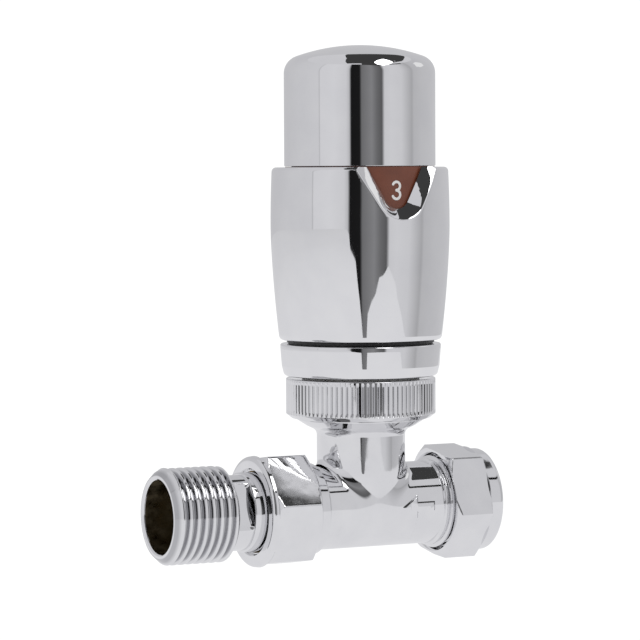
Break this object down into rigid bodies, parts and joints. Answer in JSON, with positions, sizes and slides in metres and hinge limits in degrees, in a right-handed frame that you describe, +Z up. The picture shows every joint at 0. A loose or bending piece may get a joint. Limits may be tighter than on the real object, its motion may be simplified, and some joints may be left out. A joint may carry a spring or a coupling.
{
  "type": "thermostatic radiator valve",
  "caption": "Straight thermostatic radiator valve: tee body with pipe nut and union tail, knurled ring, turning chrome sleeve with number window, domed cap.",
  "frame": {"origin": "mouth of the copper pipe's socket, on the pipe axis", "axes": "+X out of the pipe socket, -X towards the radiator tail, +Z up along the thermostatic head; the setting window faces -Y"},
  "size_m": [0.0795, 0.0396, 0.1142],
  "materials": {
    "chrome_brass": "polished chrome plate over brass",
    "chrome_plastic": "polished chrome plate over moulded plastic",
    "raw_brass": "machined brass",
    "spring_steel": "drawn spring wire",
    "stainless": "turned stainless steel",
    "rubber": "nitrile rubber",
    "band_plastic": "moulded red-brown plastic, satin",
    "print": "printed white",
    "white_plastic": "moulded white plastic",
    "black_plastic": "moulded black plastic",
    "aluminium": "drawn aluminium"
  },
  "bodies": {
    "valve": {"valve_body": "chrome_brass", "insert_body": "raw_brass", "insert_seal": "rubber", "spring_seat": "raw_brass", "return_spring": "spring_steel", "gland_seal": "rubber", "gland_nut": "raw_brass"},
    "pipe_olive": {"pipe_olive": "raw_brass"},
    "pipe_nut": {"compression_nut": "chrome_brass"},
    "tail": {"radiator_tail": "chrome_brass", "tail_olive": "raw_brass"},
    "union_nut": {"union_nut": "chrome_brass"},
    "head": {"head_base": "white_plastic", "retaining_ring": "spring_steel", "base_ring": "chrome_plastic", "head_core": "white_plastic", "number_band": "band_plastic", "numerals": "print", "top_cap": "chrome_plastic"},
    "ring": {"knurled_ring": "chrome_brass"},
    "sleeve": {"setting_sleeve": "chrome_plastic", "sleeve_liner": "black_plastic"},
    "carrier": {"sensor_carrier": "white_plastic", "sensor_capsule": "aluminium", "sensor_bellows": "raw_brass"},
    "plunger": {"push_rod": "stainless", "overtravel_spring": "spring_steel", "thrust_cup": "white_plastic", "thrust_button": "stainless", "valve_spindle": "stainless", "spindle_collar": "stainless", "disc_holder": "raw_brass", "disc_seal": "rubber", "disc_nut": "raw_brass"}
  },
  "joints": [
    {"name": "pipe_nut_turn", "type": "hinge", "parent": "pipe_olive", "child": "pipe_nut", "pos_m": [0, 0, 0], "axis": [1, 0, 0], "range_deg": [0, 720]},
    {"name": "pipe_nut_draw", "type": "slide", "parent": "valve", "child": "pipe_olive", "axis": [1, 0, 0], "range_m": [0, 0.00363]},
    {"name": "union_nut_turn", "type": "hinge", "parent": "tail", "child": "union_nut", "pos_m": [-0.04, 0, 0], "axis": [-1, 0, 0], "range_deg": [0, 720]},
    {"name": "union_nut_draw", "type": "slide", "parent": "valve", "child": "tail", "axis": [-1, 0, 0], "range_m": [0, 0.00363]},
    {"name": "ring_turn", "type": "hinge", "parent": "head", "child": "ring", "pos_m": [-0.0212, 0, 0.024], "axis": [0, 0, 1], "range_deg": [0, 360]},
    {"name": "head_lift", "type": "slide", "parent": "valve", "child": "head", "axis": [0, 0, 1], "range_m": [0, 0.00149]},
    {"name": "setting_turn", "type": "hinge", "parent": "head", "child": "sleeve", "pos_m": [-0.0212, 0, 0.055], "axis": [0, 0, 1], "range_deg": [-180, 90]},
    {"name": "carrier_lift", "type": "slide", "parent": "head", "child": "carrier", "axis": [0, 0, 1], "range_m": [-0.0015, 0.00075]},
    {"name": "sensor_stroke", "type": "slide", "parent": "carrier", "child": "plunger", "axis": [0, 0, 1], "range_m": [0, 0.001], "deforming": ["sensor_bellows", "return_spring"]}
  ],
  "couplings": [
    {"joint": "pipe_nut_draw", "follows": "pipe_nut_turn", "m_per_rad": 0.00028871},
    {"joint": "union_nut_turn", "follows": "union_nut_draw", "rad_per_m": 3463.7},
    {"joint": "ring_turn", "follows": "head_lift", "rad_per_m": 4200},
    {"joint": "carrier_lift", "follows": "setting_turn", "m_per_rad": 0.000477}
  ]
}
